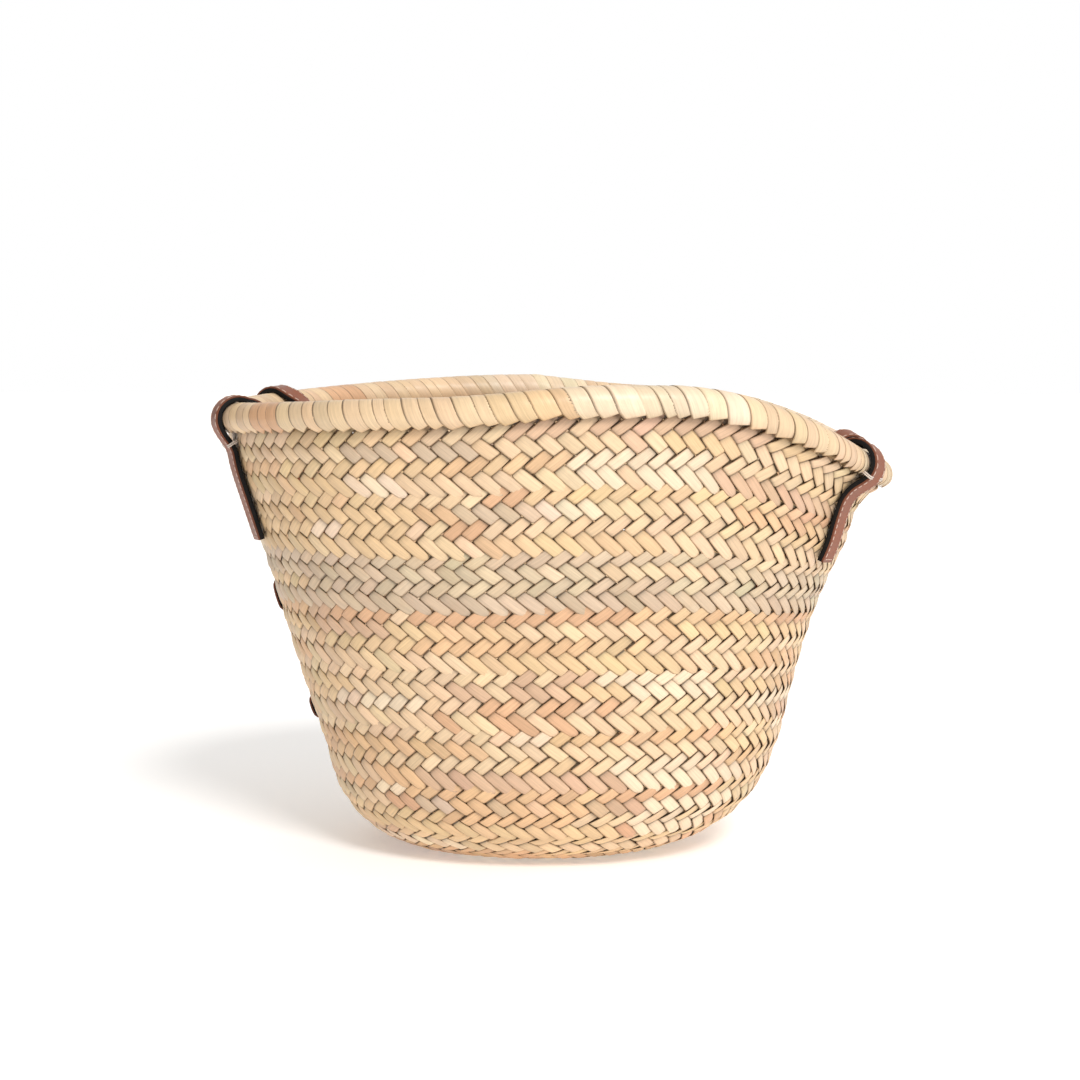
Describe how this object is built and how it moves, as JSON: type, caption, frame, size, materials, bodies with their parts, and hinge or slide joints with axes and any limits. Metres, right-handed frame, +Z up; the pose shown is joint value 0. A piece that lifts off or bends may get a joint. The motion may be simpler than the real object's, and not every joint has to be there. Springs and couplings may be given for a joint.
{
  "type": "plaited basket",
  "caption": "Round-bottomed plaited palm-leaf market basket with a wrapped rim and two folding leather strap handles.",
  "frame": {"origin": "on the floor under the middle of the mouth", "axes": "+Z up, X along the long way of the mouth with a handle at each end, -Y is the front"},
  "size_m": [0.4581, 0.3992, 0.315],
  "materials": {
    "palm_plait": "dry plaited palm leaf, satin, cream to tan with grey-green and pinkish rows",
    "palm_cord": "twisted dry palm fibre",
    "palm_core": "bundle of dry palm stalks",
    "palm_wrap": "smooth pale palm strips, satin",
    "tan_leather": "reddish saddle brown, smooth grain",
    "black_lining": "matt black lining leather",
    "pale_thread": "waxed pale thread"
  },
  "bodies": {
    "basket": {"base_centre": "palm_plait", "base_course_1": "palm_plait", "base_course_2": "palm_plait", "left_handle_back_cinch_thread": "pale_thread", "left_handle_back_stitches": "pale_thread", "left_handle_back_tab": "tan_leather", "left_handle_back_tab_lining": "black_lining", "left_handle_front_cinch_thread": "pale_thread", "left_handle_front_stitches": "pale_thread", "left_handle_front_tab": "tan_leather", "left_handle_front_tab_lining": "black_lining", "right_handle_back_cinch_thread": "pale_thread", "right_handle_back_stitches": "pale_thread", "right_handle_back_tab": "tan_leather", "right_handle_back_tab_lining": "black_lining", "right_handle_front_cinch_thread": "pale_thread", "right_handle_front_stitches": "pale_thread", "right_handle_front_tab": "tan_leather", "right_handle_front_tab_lining": "black_lining", "rim_core": "palm_core", "rim_wrap": "palm_wrap", "seam_cord_1": "palm_cord", "seam_cord_2": "palm_cord", "seam_cord_3": "palm_cord", "seam_cord_4": "palm_cord", "seam_cord_5": "palm_cord", "seam_cord_6": "palm_cord", "seam_cord_7": "palm_cord", "seam_cord_8": "palm_cord", "seam_cord_9": "palm_cord", "side_lace": "tan_leather", "side_lace_lining": "black_lining", "wall_course_1": "palm_plait", "wall_course_2": "palm_plait", "wall_course_3": "palm_plait", "wall_course_4": "palm_plait", "wall_course_5": "palm_plait", "wall_course_6": "palm_plait", "wall_course_7": "palm_plait"},
    "left_handle": {"left_handle_loop": "tan_leather", "left_handle_loop_lining": "black_lining"},
    "right_handle": {"right_handle_loop": "tan_leather", "right_handle_loop_lining": "black_lining"}
  },
  "joints": [
    {"name": "left_handle_swing", "type": "hinge", "parent": "basket", "child": "left_handle", "pos_m": [-0.20141, 0, 0.29135], "axis": [0, -1, 0], "range_deg": [0, 160]},
    {"name": "right_handle_swing", "type": "hinge", "parent": "basket", "child": "right_handle", "pos_m": [0.20408, 0, 0.26268], "axis": [0, 1, 0], "range_deg": [0, 160]}
  ]
}
